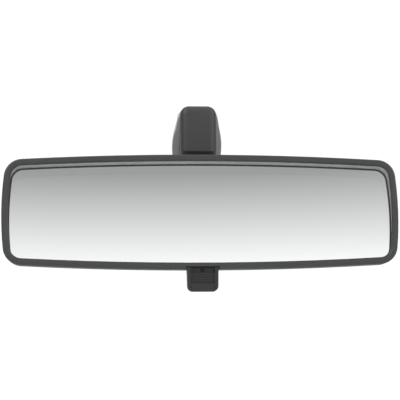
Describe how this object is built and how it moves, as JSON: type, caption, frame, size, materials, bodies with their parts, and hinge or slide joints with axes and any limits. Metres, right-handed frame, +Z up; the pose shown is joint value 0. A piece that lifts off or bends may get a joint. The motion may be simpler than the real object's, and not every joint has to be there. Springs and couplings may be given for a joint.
{
  "type": "interior_rearview_mirror",
  "caption": "Interior rearview mirror with a wedge glass in a dark matt bezel, a day/night lever under it and a ball-jointed arm with a windscreen foot",
  "frame": {"origin": "centre of the bonded face on the windscreen", "axes": "+X along the mirror, the driver looks along +Y, +Z up"},
  "size_m": [0.212, 0.0559, 0.106],
  "materials": {
    "bezel_plastic": "fine matt grain",
    "grained_plastic": "fine moulded grain",
    "lever_plastic": "satin",
    "prism_glass": "polished, ground edge",
    "silver_coating": "silvered",
    "foam_pad": "closed cell foam",
    "die_cast": "satin grey powder coat",
    "sintered_steel": "sintered",
    "spring_steel": "blued spring strip",
    "plated_steel": "zinc plated",
    "acetal": "natural acetal",
    "filled_nylon": "glass filled nylon",
    "black_rubber": "soft",
    "bond_film": "bonding film"
  },
  "bodies": {
    "mount": {"adhesive_pad": "bond_film", "windscreen_button": "sintered_steel", "support_arm": "die_cast", "retaining_spring": "spring_steel", "ball_stud": "plated_steel", "arm_cover": "grained_plastic", "arm_rear_cover": "grained_plastic", "arm_cover_screw": "plated_steel"},
    "rear_seat": {"rear_ball_seat": "acetal"},
    "front_seat": {"front_ball_seat": "acetal"},
    "bracket": {"pivot_bracket": "filled_nylon", "pressure_cup": "acetal", "clamp_spring": "spring_steel", "spring_retainer": "plated_steel", "stop_bumpers": "black_rubber"},
    "head": {"bezel_frame": "bezel_plastic", "rear_housing": "grained_plastic", "mirror_glass": "prism_glass", "mirror_coating": "silver_coating", "glass_backing_pad": "foam_pad", "bracket_pivot_pins": "plated_steel", "lever_pivot_pin": "plated_steel", "lever_spring": "spring_steel"},
    "lever": {"day_night_lever": "lever_plastic", "lever_grip_pad": "lever_plastic"}
  },
  "joints": [
    {"name": "swivel", "type": "hinge", "parent": "mount", "child": "rear_seat", "pos_m": [0, -0.0215, -0.044], "axis": [0, 0, 1], "range_deg": [-15, 15]},
    {"name": "roll", "type": "hinge", "parent": "rear_seat", "child": "front_seat", "pos_m": [0, -0.0215, -0.044], "axis": [0, 1, 0], "range_deg": [-8, 8]},
    {"name": "tilt", "type": "hinge", "parent": "front_seat", "child": "bracket", "pos_m": [0, -0.0215, -0.044], "axis": [1, 0, 0], "range_deg": [-12, 12]},
    {"name": "flip", "type": "hinge", "parent": "bracket", "child": "head", "pos_m": [0, -0.03025, -0.026], "axis": [1, 0, 0], "range_deg": [0, 4.2]},
    {"name": "lever_turn", "type": "hinge", "parent": "head", "child": "lever", "pos_m": [0, -0.0325, -0.07], "axis": [1, 0, 0], "range_deg": [0, 40]}
  ],
  "couplings": [
    {"joint": "lever_turn", "follows": "flip", "ratio": 9.5238}
  ]
}
